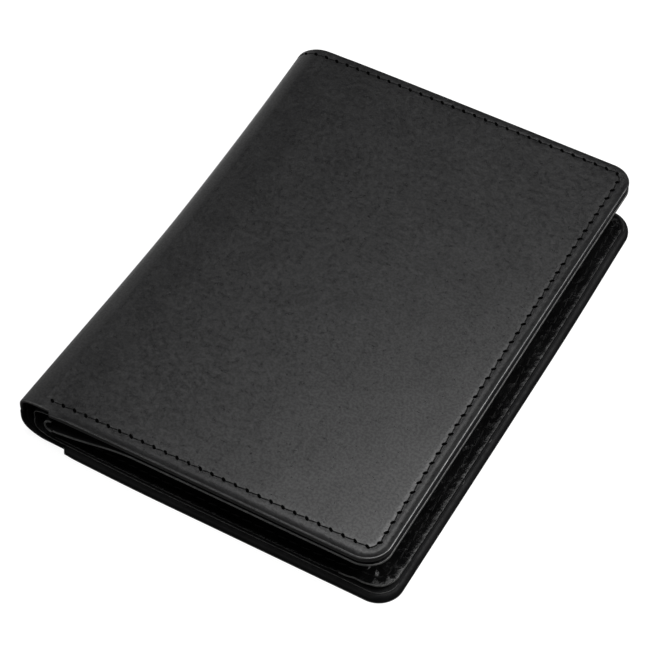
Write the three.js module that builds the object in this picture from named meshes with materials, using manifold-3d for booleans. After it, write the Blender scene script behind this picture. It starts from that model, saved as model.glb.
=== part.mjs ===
// Portrait bifold wallet in black nappa leather, closed, with a coin pouch and card pockets inside.
// Millimetres, +Z up. The wallet lies on its back cover: the fold is at -X, the free edges at +X, and the
// origin is the middle of its footprint on the table.
import * as THREE from 'three';
import { mergeVertices } from 'three/addons/utils/BufferGeometryUtils.js';
import Module from 'manifold-3d';

const wasm = await Module();
wasm.setup();

// Driving dimensions: the closed wallet
const height = 126.8;
const closedWidth = 94;
const frontShortfall = 3.3;
const cornerRadius = 6;
const openAngle = 1.1;
const restClearance = 0.25;

// Layers of each half, from the outside in
const coverLeather = 0.8;
const stiffener = 0.3;
const lining = 0.2;
const hemLeather = 0.4;
const dividerSheet = 0.2;
const innerLeather = 0.6;
const layerGap = 0.05;
const joinGap = 0.3;

// Turned edges, and the cut edges beside the fold
const hemWidth = 9;
const edgeRounding = 0.6;
const notchDepth = 1.1;
const frontNotch = 2.1;
const backNotch = 5.3;

// Lines pressed into the outer face along the turned edges: a crease, and the channel that the seam lies in
const creaseInset = 1.5;
const creaseWidth = 0.5;
const creaseDepth = 0.15;
const seamInset = 3.4;
const seamWidth = 0.6;
const seamDepth = 0.2;

// Inner panels and note divider
const frontPanelSetback = 0.2;
const backPanelSetback = 1.5;
const frontPanelOffset = 0.8;
const backPanelOffset = 2.4;
const panelRounding = 0.2;
const panelSag = 3.6;
const sagLength = 22;
const dividerSetback = 5;

// Card pockets
const pocketCount = 3;
const pocketLeather = 0.45;
const pocketSeam = 4;
const pocketStep = 11;
const pocketClearance = 0.3;

// Coin pouch
const pouchHeight = 76;
const pouchDepth = 66;
const pouchMouthInset = 11;
const pouchRadius = 9;
const pouchCavity = 4.2;
const pouchLeather = 0.6;
const gussetLeather = 0.5;

// Flap of the pouch
const flapHeight = 68;
const flapReach = 38;
const flapTipRadius = 17;
const flapLeather = 0.6;
const flapLining = 0.15;
const flapBend = 1.6;
const flapStandoff = 0.6;
const flapLiningInset = 3;

// Press stud
const studTipInset = 11;
const studFlangeRadius = 4.2;
const studFlange = 0.25;
const studHeadRadius = 2.2;
const studNeckRadius = 1.9;
const socketRadius = 5;
const socketHeight = 0.6;
const socketPlate = 0.15;
const socketGap = 0.15;
const capRadius = 6.2;
const capHeight = 0.6;
const capRim = 0.2;
const postFlange = 0.3;
const shankRadius = 1.1;
const fitClearance = 0.2;

// Facets
const arcSteps = 6;
const foldSteps = 20;
const roundSteps = 28;

// Heights inside one half, measured inwards from its outer face
const boardLevel = coverLeather + layerGap;
const liningLevel = boardLevel + stiffener + layerGap;
const hemLevel = liningLevel + lining + layerGap;
const edgeThickness = hemLevel + hemLeather;
const dividerLevel = edgeThickness + layerGap;
const panelLevel = dividerLevel + dividerSheet + layerGap;
const panelThickness = panelLevel + innerLeather;
const pocketPitch = pocketLeather + layerGap;
const frontStack = panelThickness + pocketCount * pocketPitch;

// Heights of the pouch and its press stud above the table
const gussetLevel = panelThickness + layerGap;
const coinFrontLevel = gussetLevel + pouchCavity;
const studLevel = coinFrontLevel + pouchLeather + layerGap;
const socketLevel = studLevel + studFlange + socketGap;
const flapLiningLevel = socketLevel + socketHeight + layerGap;
const leafLevel = flapLiningLevel + flapLining + layerGap;
const leafTop = leafLevel + flapLeather;
const capLevel = leafTop + layerGap;
const capTop = capLevel + capHeight;

// Places along X
const foldX = -closedWidth / 2;
const backEdgeX = closedWidth / 2;
const frontEdgeX = backEdgeX - frontShortfall;
const mouthX = backEdgeX - pouchMouthInset;
const flapX = mouthX + flapStandoff + flapLeather;
const studX = flapX - flapReach + studTipInset;

// The fold is as thick as what lies between the covers, less the height that the open front gains at the stud
const tilt = THREE.MathUtils.degToRad(openAngle);
const foldThickness = capTop + restClearance + frontStack - (studX - foldX) * Math.sin(tilt);
const foldRadius = foldThickness / 2;
const foldCentreX = foldX + foldRadius;
const halfStartX = foldCentreX + joinGap;
const hookRadius = panelSag / 2;
const hookX = foldCentreX + frontPanelOffset + hookRadius + innerLeather / 2;
const sagEndX = hookX + sagLength;

// Materials
const nappa = new THREE.MeshStandardMaterial({ color: 0x1d1d1e, roughness: 0.55, metalness: 0 });
const innerNappa = new THREE.MeshStandardMaterial({ color: 0x191919, roughness: 0.6, metalness: 0 });
const cloth = new THREE.MeshStandardMaterial({ color: 0x141414, roughness: 0.85, metalness: 0 });
const board = new THREE.MeshStandardMaterial({ color: 0x6d665c, roughness: 0.95, metalness: 0 });
const steel = new THREE.MeshStandardMaterial({ color: 0x2a2a2c, roughness: 0.3, metalness: 1 });

// Booleans
function solidOf(geometry) {
  const bare = geometry.clone();
  bare.deleteAttribute('normal');
  bare.deleteAttribute('uv');
  const merged = mergeVertices(bare, 1e-4);
  return new wasm.Manifold(new wasm.Mesh({
    numProp: 3,
    vertProperties: Float32Array.from(merged.attributes.position.array),
    triVerts: Uint32Array.from(merged.index.array),
  }));
}

function geometryOf(solid) {
  const mesh = solid.getMesh();
  const geometry = new THREE.BufferGeometry();
  geometry.setAttribute('position', new THREE.BufferAttribute(Float32Array.from(mesh.vertProperties), 3));
  geometry.setIndex(new THREE.BufferAttribute(Uint32Array.from(mesh.triVerts), 1));
  geometry.computeVertexNormals();
  return geometry;
}

function cut(geometry, tools) {
  return geometryOf(tools.reduce((rest, tool) => rest.subtract(solidOf(tool)), solidOf(geometry)));
}

function common(first, second) {
  return geometryOf(solidOf(first).intersect(solidOf(second)));
}

// Outlines and solids

// A panel seen from above, with its own corner radius at the fold side and at the free side.
function panelShape(left, right, halfHeight, leftRadius, rightRadius) {
  const shape = new THREE.Shape();
  shape.moveTo(left + leftRadius, -halfHeight);
  shape.lineTo(right - rightRadius, -halfHeight);
  if (rightRadius > 0) {
    shape.absarc(right - rightRadius, -halfHeight + rightRadius, rightRadius, -Math.PI / 2, 0, false);
  }
  shape.lineTo(right, halfHeight - rightRadius);
  if (rightRadius > 0) {
    shape.absarc(right - rightRadius, halfHeight - rightRadius, rightRadius, 0, Math.PI / 2, false);
  }
  shape.lineTo(left + leftRadius, halfHeight);
  if (leftRadius > 0) {
    shape.absarc(left + leftRadius, halfHeight - leftRadius, leftRadius, Math.PI / 2, Math.PI, false);
  }
  shape.lineTo(left, -halfHeight + leftRadius);
  if (leftRadius > 0) {
    shape.absarc(left + leftRadius, -halfHeight + leftRadius, leftRadius, Math.PI, Math.PI * 1.5, false);
  }
  return shape;
}

function addRoundHole(shape, x, radius) {
  const hole = new THREE.Path();
  hole.absarc(x, 0, radius, 0, Math.PI * 2, true);
  shape.holes.push(hole);
}

// A flat layer of the given outline, with rounded rims if asked for.
function slab(shape, level, thickness, rounding = 0) {
  const geometry = new THREE.ExtrudeGeometry(shape, {
    depth: thickness - 2 * rounding,
    curveSegments: arcSteps,
    bevelEnabled: rounding > 0,
    bevelThickness: rounding,
    bevelSize: rounding,
    bevelOffset: -rounding,
    bevelSegments: 3,
  });
  return geometry.translate(0, 0, level + rounding);
}

function block(left, right, halfHeight, bottom, top) {
  const geometry = new THREE.BoxGeometry(right - left, 2 * halfHeight, top - bottom);
  return geometry.translate((left + right) / 2, 0, (bottom + top) / 2);
}

// A section drawn in X and Z, run along Y.
function runAlongY(section, length) {
  const geometry = new THREE.ExtrudeGeometry(section, {
    depth: length,
    curveSegments: foldSteps,
    bevelEnabled: false,
  });
  return geometry.rotateX(Math.PI / 2).translate(0, length / 2, 0);
}

// The section of a bent sheet: its middle line, thickened to both sides.
function sheetSection(line, thickness) {
  const sides = [1, -1].map((side) => line.map((point, index) => {
    const before = line[Math.max(index - 1, 0)];
    const after = line[Math.min(index + 1, line.length - 1)];
    const along = after.clone().sub(before).normalize();
    const across = new THREE.Vector2(-along.y, along.x);
    return point.clone().addScaledVector(across, side * thickness / 2);
  }));
  return new THREE.Shape([...sides[1], ...sides[0].reverse()]);
}

function arcPoints(x, z, radius, fromAngle, toAngle, steps) {
  return Array.from({ length: steps + 1 }, (_, index) => {
    const angle = fromAngle + (toAngle - fromAngle) * index / steps;
    return new THREE.Vector2(x + radius * Math.cos(angle), z + radius * Math.sin(angle));
  });
}

// A turned piece about a vertical axis, from points of radius and height.
function turned(points, x) {
  const profile = points.map(([radius, level]) => new THREE.Vector2(radius, level));
  return new THREE.LatheGeometry(profile, roundSteps).rotateX(Math.PI / 2).translate(x, 0, 0);
}

function node(name, geometry, material) {
  const mesh = new THREE.Mesh(geometry, material);
  mesh.name = name;
  return mesh;
}

// Pieces that both halves have

// Outer leather of one half: its three free edges are turned in over the stiffener and the lining, and
// beside the fold it is a single cut layer, set back from the panel's edges.
function coverGeometry(edgeX, notch) {
  const margin = hemWidth;
  const halfHeight = height / 2;
  const notchX = foldCentreX + notch;
  const start = halfStartX - margin;
  const pocketInset = coverLeather;
  const body = slab(
    panelShape(start, edgeX, halfHeight, 0, cornerRadius),
    0,
    edgeThickness,
    Math.min(edgeRounding, edgeThickness / 3),
  );
  const pocket = slab(
    panelShape(start - margin, edgeX - pocketInset, halfHeight - pocketInset, 0, cornerRadius - pocketInset),
    coverLeather,
    hemLevel - coverLeather,
  );
  const opening = slab(
    panelShape(start - margin, edgeX - hemWidth, halfHeight - hemWidth, 0, 0),
    coverLeather,
    edgeThickness,
  );
  const singleLayer = block(start - margin, notchX, height, coverLeather, 2 * edgeThickness);
  const foldSide = block(start - margin, halfStartX, height, -edgeThickness, 2 * edgeThickness);
  const setbacks = [1, -1].map((side) => {
    const strip = block(start - margin, notchX, halfHeight, -edgeThickness, 2 * edgeThickness);
    return strip.translate(0, side * (height - notchDepth), 0);
  });
  const lines = [
    edgeLine(edgeX, notchX, creaseInset, creaseWidth, creaseDepth),
    edgeLine(edgeX, notchX, seamInset, seamWidth, seamDepth),
  ];
  return cut(body, [pocket, opening, singleLayer, foldSide, ...setbacks, ...lines]);
}

// A groove in the outer face that follows the three turned edges.
function edgeLine(edgeX, startX, inset, width, depth) {
  const outlineAt = (left, distance) => panelShape(
    left,
    edgeX - distance,
    height / 2 - distance,
    0,
    cornerRadius - distance,
  );
  const outer = slab(outlineAt(startX, inset), -depth, 2 * depth);
  const inner = slab(outlineAt(startX - width, inset + width), -2 * depth, 4 * depth);
  return cut(outer, [inner]);
}

// A layer that lies inside the turned edges.
function hemmedLayer(startX, edgeX, level, thickness) {
  const inset = coverLeather + layerGap;
  const outline = panelShape(startX, edgeX - inset, height / 2 - inset, 0, cornerRadius - inset);
  return slab(outline, level, thickness);
}

function liningGeometry(edgeX, notch) {
  return hemmedLayer(foldCentreX + notch + joinGap, edgeX, liningLevel, lining);
}

function boardGeometry(edgeX, notch) {
  return hemmedLayer(foldCentreX + notch + joinGap, edgeX, boardLevel, stiffener);
}

// Loose sheet that parts the note compartment in two.
function dividerGeometry(edgeX) {
  const outline = panelShape(
    halfStartX,
    edgeX - dividerSetback,
    height / 2 - dividerSetback,
    0,
    cornerRadius,
  );
  return slab(outline, dividerLevel, dividerSheet);
}

function innerOutline(offset, edgeX, setback) {
  return panelShape(foldCentreX + offset, edgeX - setback, height / 2 - setback, 0, cornerRadius - setback);
}

// Fold

// Half round layer that joins the same layer of both halves.
function foldLayer(level, thickness, length) {
  const outer = foldRadius - level;
  const section = new THREE.Shape();
  section.absarc(foldCentreX, foldRadius, outer, Math.PI / 2, Math.PI * 1.5, false);
  section.absarc(foldCentreX, foldRadius, outer - thickness, Math.PI * 1.5, Math.PI / 2, true);
  return runAlongY(section, length);
}

function foldPieces() {
  const dividerHeight = height - 2 * dividerSetback;
  return [
    node('spine_cover', foldLayer(0, coverLeather, height - 2 * notchDepth), nappa),
    node('spine_lining', foldLayer(liningLevel, lining, height - 4 * notchDepth), cloth),
    node('spine_divider', foldLayer(dividerLevel, dividerSheet, dividerHeight), cloth),
  ];
}

// Back half

function backPieces() {
  const backOutline = innerOutline(backPanelOffset, backEdgeX, backPanelSetback);
  const panel = slab(backOutline, panelLevel, innerLeather, panelRounding);
  return [
    node('back_cover', coverGeometry(backEdgeX, backNotch), nappa),
    node('back_board', boardGeometry(backEdgeX, backNotch), board),
    node('back_lining', liningGeometry(backEdgeX, backNotch), cloth),
    node('back_divider', dividerGeometry(backEdgeX), cloth),
    node('back_inner_panel', panel, innerNappa),
  ];
}

// Front half, drawn like the back half from its outer face inwards

// Its leather sags away from the cover towards the fold and ends in a hook that turns back to the cover.
function frontPanelGeometry() {
  const half = innerLeather / 2;
  const flatZ = panelLevel + half;
  const hook = arcPoints(hookX, flatZ + hookRadius, hookRadius, -Math.PI / 2, -Math.PI * 1.5, foldSteps / 2);
  const sag = Array.from({ length: arcSteps }, (_, index) => {
    const share = (index + 1) / arcSteps;
    const drop = panelSag * (1 + Math.cos(Math.PI * share)) / 2;
    return new THREE.Vector2(hookX + sagLength * share, flatZ + drop);
  });
  const end = new THREE.Vector2(frontEdgeX, flatZ);
  const sheet = runAlongY(sheetSection([...hook, ...sag, end], innerLeather), height);
  const outline = slab(innerOutline(frontPanelOffset, frontEdgeX, frontPanelSetback), 0, 2 * frontStack);
  return common(sheet, outline);
}

// Stepped card pockets, open towards the fold and sewn in along the other three sides. The first one starts
// where the panel under it lies flat.
function cardPocket(index) {
  const seamX = frontEdgeX - pocketSeam;
  const mouth = sagEndX + pocketClearance + index * pocketStep;
  const outline = panelShape(mouth, seamX, height / 2 - pocketSeam, 0, cornerRadius / 2);
  return slab(outline, panelThickness + layerGap + index * pocketPitch, pocketLeather);
}

function frontPieces() {
  const pockets = Array.from({ length: pocketCount }, (_, index) => {
    return node(`card_pocket_${index + 1}`, cardPocket(index), innerNappa);
  });
  return [
    node('front_cover', coverGeometry(frontEdgeX, frontNotch), nappa),
    node('front_board', boardGeometry(frontEdgeX, frontNotch), board),
    node('front_lining', liningGeometry(frontEdgeX, frontNotch), cloth),
    node('front_divider', dividerGeometry(frontEdgeX), cloth),
    node('front_inner_panel', frontPanelGeometry(), innerNappa),
    ...pockets,
  ];
}

// Coin pouch, open towards the free edge

function coinFrontGeometry() {
  const outline = panelShape(mouthX - pouchDepth, mouthX, pouchHeight / 2, pouchRadius, 0);
  addRoundHole(outline, studX, shankRadius + fitClearance);
  return slab(outline, coinFrontLevel, pouchLeather);
}

// One strip that runs round the three closed sides.
function gussetGeometry() {
  const left = mouthX - pouchDepth;
  const halfHeight = pouchHeight / 2;
  const tall = pouchCavity - layerGap;
  const wall = slab(panelShape(left, mouthX, halfHeight, pouchRadius, 0), gussetLevel, tall);
  const inside = slab(
    panelShape(
      left + gussetLeather,
      mouthX + gussetLeather,
      halfHeight - gussetLeather,
      pouchRadius - gussetLeather,
      0,
    ),
    gussetLevel - tall,
    3 * tall,
  );
  return cut(wall, [inside]);
}

// The flap is one strip: it stands at the mouth, sewn to the inner panel, and bends over the pouch.
function flapGeometry() {
  const half = flapLeather / 2;
  const foot = new THREE.Vector2(flapX - half, gussetLevel);
  const centreX = flapX - flapBend;
  const centreZ = leafTop - flapBend;
  const bend = arcPoints(centreX, centreZ, flapBend - half, 0, Math.PI / 2, arcSteps);
  const tip = new THREE.Vector2(flapX - flapReach, leafTop - half);
  const sheet = runAlongY(sheetSection([foot, ...bend, tip], flapLeather), flapHeight);
  const outline = panelShape(flapX - flapReach, flapX + joinGap, flapHeight / 2, flapTipRadius, 0);
  addRoundHole(outline, studX, shankRadius + fitClearance);
  return common(sheet, slab(outline, 0, 2 * capTop));
}

function flapLiningGeometry() {
  const outline = panelShape(
    flapX - flapReach + flapLiningInset,
    flapX - flapBend,
    flapHeight / 2 - flapLiningInset,
    flapTipRadius - flapLiningInset,
    0,
  );
  addRoundHole(outline, studX, shankRadius + fitClearance);
  return slab(outline, flapLiningLevel, flapLining);
}

// Press stud

function postGeometry() {
  const top = coinFrontLevel - layerGap;
  const end = studLevel + studFlange;
  return turned([
    [0, top - postFlange],
    [studFlangeRadius, top - postFlange],
    [studFlangeRadius, top],
    [shankRadius, top],
    [shankRadius, end],
    [0, end],
  ], studX);
}

function studGeometry() {
  const bore = shankRadius + fitClearance;
  const boreTop = studLevel + studFlange + layerGap;
  const shoulder = studLevel + studFlange;
  const top = socketLevel + socketHeight - socketPlate - layerGap;
  return turned([
    [0, boreTop],
    [bore, boreTop],
    [bore, studLevel],
    [studFlangeRadius, studLevel],
    [studFlangeRadius, shoulder],
    [studNeckRadius, shoulder],
    [studHeadRadius, (shoulder + top) / 2],
    [studNeckRadius, top],
    [0, top],
  ], studX);
}

function socketGeometry() {
  const bore = studHeadRadius + fitClearance;
  const hole = shankRadius + fitClearance;
  const top = socketLevel + socketHeight;
  return turned([
    [bore, socketLevel],
    [socketRadius, socketLevel],
    [socketRadius, top],
    [hole, top],
    [hole, top - socketPlate],
    [bore, top - socketPlate],
    [bore, socketLevel],
  ], studX);
}

function capGeometry() {
  const end = socketLevel + socketHeight - socketPlate;
  const dome = Array.from({ length: arcSteps }, (_, index) => {
    const angle = Math.PI / 2 * (index + 1) / arcSteps;
    return [capRadius * Math.cos(angle), capLevel + capRim + (capHeight - capRim) * Math.sin(angle)];
  });
  dome[arcSteps - 1][0] = 0;
  return turned([
    [0, end],
    [shankRadius, end],
    [shankRadius, capLevel],
    [capRadius, capLevel],
    [capRadius, capLevel + capRim],
    ...dome,
  ], studX);
}

function pouchPieces() {
  return [
    node('coin_gusset', gussetGeometry(), innerNappa),
    node('coin_front', coinFrontGeometry(), innerNappa),
    node('pouch_flap', flapGeometry(), innerNappa),
    node('flap_lining', flapLiningGeometry(), cloth),
    node('snap_post', postGeometry(), steel),
    node('snap_stud', studGeometry(), steel),
    node('snap_socket', socketGeometry(), steel),
    node('snap_cap', capGeometry(), steel),
  ];
}

// Assembly

const frontHalf = new THREE.Group();
frontHalf.rotation.x = Math.PI;
frontHalf.position.x = -foldX;
frontHalf.add(...frontPieces());

const openFront = new THREE.Group();
openFront.position.set(foldX, 0, foldThickness);
openFront.rotation.y = -tilt;
openFront.add(frontHalf);

const wallet = new THREE.Group();
wallet.add(...backPieces(), ...foldPieces(), ...pouchPieces(), openFront);

export default wallet;
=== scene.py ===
import math

import bmesh
import bpy
import numpy as np
from mathutils import Matrix, Vector
from mathutils.geometry import delaunay_2d_cdt


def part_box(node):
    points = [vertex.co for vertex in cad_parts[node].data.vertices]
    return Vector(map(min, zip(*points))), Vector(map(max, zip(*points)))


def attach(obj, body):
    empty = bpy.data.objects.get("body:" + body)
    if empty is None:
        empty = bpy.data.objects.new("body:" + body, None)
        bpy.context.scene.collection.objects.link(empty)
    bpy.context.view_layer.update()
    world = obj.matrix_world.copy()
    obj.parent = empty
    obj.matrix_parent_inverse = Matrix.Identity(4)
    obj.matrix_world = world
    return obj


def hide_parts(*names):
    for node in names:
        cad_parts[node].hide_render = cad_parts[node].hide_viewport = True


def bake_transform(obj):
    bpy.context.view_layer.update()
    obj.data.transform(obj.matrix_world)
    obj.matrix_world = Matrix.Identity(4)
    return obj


# Lengths are millimetres in the shared frame. Meshes, lamps and the floor are placed in metres.
MM = 0.001

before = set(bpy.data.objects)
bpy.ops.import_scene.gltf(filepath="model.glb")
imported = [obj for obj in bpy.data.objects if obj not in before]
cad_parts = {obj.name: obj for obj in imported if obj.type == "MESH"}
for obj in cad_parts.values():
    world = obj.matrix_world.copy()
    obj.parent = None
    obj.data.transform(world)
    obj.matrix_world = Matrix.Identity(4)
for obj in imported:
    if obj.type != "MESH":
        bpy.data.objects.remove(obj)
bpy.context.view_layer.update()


def node_box(name):
    """Lowest and highest corner of a node, in millimetres."""
    low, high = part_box(name)
    return np.array(low) / MM, np.array(high) / MM


# Sizes taken from the frame
spine_low, spine_high = node_box("spine_cover")
_, back_high = node_box("back_cover")
_, front_high = node_box("front_cover")
panel_low, panel_high = node_box("back_inner_panel")
pouch_low, pouch_high = node_box("coin_front")
gusset_low, gusset_high = node_box("coin_gusset")
flap_low, flap_high = node_box("pouch_flap")
cap_low, cap_high = node_box("snap_cap")

RADIUS = spine_high[2] / 2
CENTRE_X = spine_low[0] + RADIUS
HALF_HEIGHT = back_high[1]
QUARTER = math.pi * RADIUS / 2
BACK_REACH = back_high[0] - CENTRE_X
FRONT_REACH = front_high[0] - CENTRE_X
STUD_X = (cap_low[0] + cap_high[0]) / 2

# Front half as it lies in the photo: slightly open, bowed up along its free edge
TILT = math.radians(1.05)
EASE_LENGTH = 8.0
BOW = 0.6
SHOULDER = 0.5
SHOULDER_LENGTH = 14.0

# The fold is pressed in along its middle, and squarer and lifted at its near end
FOLD_PINCH = 1.5
PINCH_LEAN = 0.35
PINCH_REACH = 14.0
FRONT_SQUARE = 0.55
BACK_SQUARE = 0.45
SQUARE_LEAST = 0.2
NEAR_LIFT = 1.1
LIFT_LENGTH = 30.0
NEAR_TUCK = 0.6

# The free edge and the far corner of the back half are drawn in, and its layers lie pressed on the table
CORNER_PULL = 1.9
EDGE_PULL = 0.3
FAR_EDGE_PULL = 0.6
NEAR_SLANT = 0.8
NEAR_PULL = 0.2
PRESSED_SHARE = 0.2

# Leather edges: turned in, but a single cut layer between the notches beside the fold
CORNER = 6.0
LEATHER = 0.8
EDGE = 1.85
HEM = 9.0
HEM_ROUND = 0.2
HEM_GAP = 0.1
HEM_RING = 0.5
FRONT_NOTCH = 2.1
BACK_NOTCH = 5.3
NEAR_NOTCH = 1.1
NEAR_STEP = 0.8
FAR_NOTCH = 1.9
FAR_STEP = 3.0
FAR_START = 1.5
FAR_LENGTH = 10.0
RIM_WIDTH = 0.4
RIM_DROP = 0.4
RIM_UNDERCUT = 1.5
BEAD_INSET = 2.1
BEAD_SHIFT = 0.5
BEAD_HEIGHT = 0.14
BEAD_LEAN = 0.27
BEAD_SIDE = 0.08
BEAD_START = 4.0

# Levels inside one half, from its outer face inwards
BOARD_LEVEL = 0.85
BOARD_THICK = 0.3
LINING_LEVEL = 1.2
CLOTH_THICK = 0.2
DIVIDER_LEVEL = 1.9
DIVIDER_SETBACK = 1.2
DIVIDER_SHIFT = 2.0
DIVIDER_RADIUS = RADIUS - DIVIDER_LEVEL
LAYER_GAP = 0.05
LAYER_INSET = LEATHER + LAYER_GAP
LAYER_ROUND = 0.08
LAYER_RING = 1.5
JOIN_GAP = 0.3

# Inner panels
PANEL_LEVEL = 2.15
PANEL_THICK = 0.6
PANEL_CORNER_CUT = 1.0
FRONT_SETBACK = -0.1
BACK_SETBACK = back_high[0] - panel_high[0]
FRONT_START = 0.8
BACK_START = panel_low[0] - CENTRE_X
PANEL_LIFT = 0.4
LIFT_REACH = 4.0
PANEL_SAG = 3.6
SAG_LENGTH = 22.0
PANEL_DROOP = 0.8
DROOP_REACH = 10.0
DROOP_FADE = 0.9

# Gathered leather of the back inner panel at its near free corner and along its free edge
GATHER_HEIGHT = 1.6
GATHER_WIDTH = 8.0
GATHER_FROM_EDGE = 4.0
GATHER_FROM_NEAR = 3.0
PLEAT_HEIGHT = 0.22
PLEAT_COUNT = 7.0
PLEAT_TWIST = 0.5
PLEAT_CLEAR = 6.0
WRINKLE_HEIGHT = 0.015
WRINKLE_COUNT = 7
WRINKLE_LENGTH = 1.8
WRINKLE_SPREAD = 0.4
WRINKLE_TURN = 2.4
WRINKLE_PHASE = 1.7
WRINKLE_RISE = 2.5
WRINKLE_FULL = 3.0
WRINKLE_MARGIN = 9.0

# Card pockets
POCKET_COUNT = 3
POCKET_THICK = 0.45
POCKET_PITCH = 0.5
POCKET_ROUND = 0.2
POCKET_CORNER = 1.2
POCKET_FOOT = 3.0
POCKET_SEAM = 2.2
POCKET_GROOVE = 0.06
POCKET_GROOVE_WIDTH = 0.35

# Coin pouch
POUCH_DEPTH = pouch_high[0] - pouch_low[0]
POUCH_RADIUS = 9.0
POUCH_SEAM = 2.4
POUCH_LIP = 1.0
POUCH_UNSEWN = 1.5
GUSSET_WALL = 0.5
GUSSET_CREASE = 1.5
GUSSET_SHARPNESS = 1.5
GUSSET_INSET = 0.15
GUSSET_STEPS = 12

# Flap of the pouch, measured along its strip
FLAP_THICK = 0.6
FLAP_BEND = 1.6
FLAP_RISER = flap_high[2] - FLAP_BEND - flap_low[2]
FLAP_LEAF = FLAP_RISER + math.pi * FLAP_BEND / 2
FLAP_LENGTH = FLAP_LEAF + (flap_high[0] - FLAP_BEND - flap_low[0])
FLAP_TIP = 17.0
FLAP_UNSEWN = 1.0
FLAP_SEAM_START = 1.5
FLAP_DROOP = 0.75
FLAP_FLAT = 7.0
FLAP_SPREAD = 14.0
FLAP_EASE = 12.0
FLAP_LINING_ROUND = 0.06
FLAP_LINING_RING = 1.2
FLAP_LINING_CORNER = 1.0

# Press stud: radii, then edges and thicknesses
SHANK = 1.1
SHANK_HOLE = 1.3
SOCKET_BORE = 2.4
STUD_NECK = 1.9
STUD_HEAD = 2.2
STUD_TOP = 1.8
CAP_TUCK = 0.12
BEVEL = 0.1
SOFT_EDGE = 0.08
PLATE = 0.15
STUD_PLATE = 0.25
POST_PLATE = 0.3

# Stitching
PITCH = 2.9
END_GAP = PITCH / 4
SEAM_INSET = 3.7
SEAM_SHIFT = 0.8
FAR_SEAM_SHIFT = 1.4
SEAM_FOLLOW = 0.7
THREAD_RADIUS = 0.16
STITCH_END = 0.06
STITCH_SLANT = 0.32
STITCH_ARCH = 1.15
STITCH_SINK = 0.9
STITCH_TAPER = 0.28
HOLE_LENGTH = 1.35
HOLE_WIDTH = 0.72
HOLE_PROUD = 0.02
HOLE_PROBE = 0.2
HOLE_SLANT = math.radians(-40.0)
GROOVE_DEPTH = 0.05
GROOVE_WIDTH = 0.55
INNER_RELIEF = 0.6

# Spacing of the mesh points, insets of their rings on sewn faces, and counts
STEPS_PER_STITCH = 8
FINE = PITCH / STEPS_PER_STITCH
BEND_STEP = 0.3
FOLD_STEP = 0.55
HOOK_STEP = 0.6
HOOK_STRETCH = 20.0
SMALL_STEP = 0.8
RIM_STEP = 1.0
FACE_STEP = 2.0
LAYER_STEP = 3.0
COVER_RINGS = [6.0, 5.0, 4.6, *np.arange(4.4, 1.0, -0.15), 0.9, 0.75, 0.6, 0.5, 0.43]
PANEL_RINGS = [0.9, 1.3, 1.5, 1.75, 2.0, 2.4, 2.8, 3.1, 3.3, 3.5, 3.7, 3.9, 4.2, 4.6, 5.2]
POCKET_RINGS = [0.9, 1.6, 1.9, 2.2, 2.5, 2.8, 3.5]
POUCH_RINGS = [4.5, 3.4, 3.0, 2.7, 2.4, 2.1, 1.8, 1.4, 0.8]
POUCH_ROUND = 0.3
CORNER_STEPS = 6
THREAD_SIDES = 8
THREAD_RINGS = 9
HOLE_SIDES = 12
TURNED_SIDES = 64
DOME_STEPS = 16
FILL_MARGIN = 0.3
FILL_APART = 0.5
SAME_SPOT = 1e-6
SAME_POINT_METRES = 2e-7
NO_EDGE_METRES = 1e-7

# Textures
NOISE_ROUGHNESS = 0.55
WAVE_SCALE = 0.314

# Camera fitted to the outlines of both halves in the photo
IMAGE_PIXELS = 650
FOCAL_PIXELS = 2530.7
SENSOR_MM = 36.0
CAMERA_AZIMUTH = math.radians(28.03)
CAMERA_ELEVATION = math.radians(51.70)
CAMERA_ROLL = math.radians(1.72)
CAMERA_DISTANCE = 571.6
CAMERA_TARGET = Vector((0.05, -8.19, 8.4))
CLIP_METRES = (0.01, 20.0)

# Floor and surroundings, in metres. The leather mirrors a brighter floor to the left of the wallet.
FLOOR_REACH = 3.0
FLOOR_DROP = 0.0002
FLOOR_COLOUR = 0.12
FLOOR_ROUGHNESS = 0.9
FLOOR_SEEN = 0.92
FLOOR_MIRRORED = 0.05
FLOOR_LEFT = 0.50
LEFT_WAY = (-0.9, 0.45, 0.0)
LEFT_FROM = 0.030
LEFT_TO = 0.060
WORLD_STRENGTH = 0.01
WHITE = (1.0, 1.0, 1.0, 1.0)


# Small helpers

def smooth(value):
    """Smooth step from 0 to 1."""
    t = np.clip(value, 0.0, 1.0)
    return t * t * (3.0 - 2.0 * t)


def bell(distance, width):
    return np.exp(-(distance / width) ** 2)


def spread(low, high, step):
    """Evenly spaced values from low to high, about a step apart."""
    return np.linspace(low, high, max(1, round((high - low) / step)) + 1)


def full_turn(count):
    return np.linspace(0.0, 2 * math.pi, count, endpoint=False)


# Places: each takes flat sheet coordinates (along the sheet, across it, inwards from its outer face)

def folded(along, across, level, start, radius, square):
    """Distance along the half and from the fold's axis plane. The round part of the sheet ends at start.
    It stands out between its top and its side, most of all at its near end."""
    angle = np.maximum(-along, 0.0) / radius
    near = SQUARE_LEAST + (1.0 - SQUARE_LEAST) * smooth(-across / HALF_HEIGHT)
    bulge = 2.0 * square * near * (np.sin(2.0 * angle) * np.sin(angle)) ** 2
    reach = RADIUS - level + bulge
    return start + np.maximum(along, 0.0) - reach * np.sin(angle), reach * np.cos(angle)


def near_end(across):
    """Grows from 0 to 1 over the last quarter of the height, towards the near end."""
    return smooth(-2.0 * across / HALF_HEIGHT - 1.0)


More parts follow.
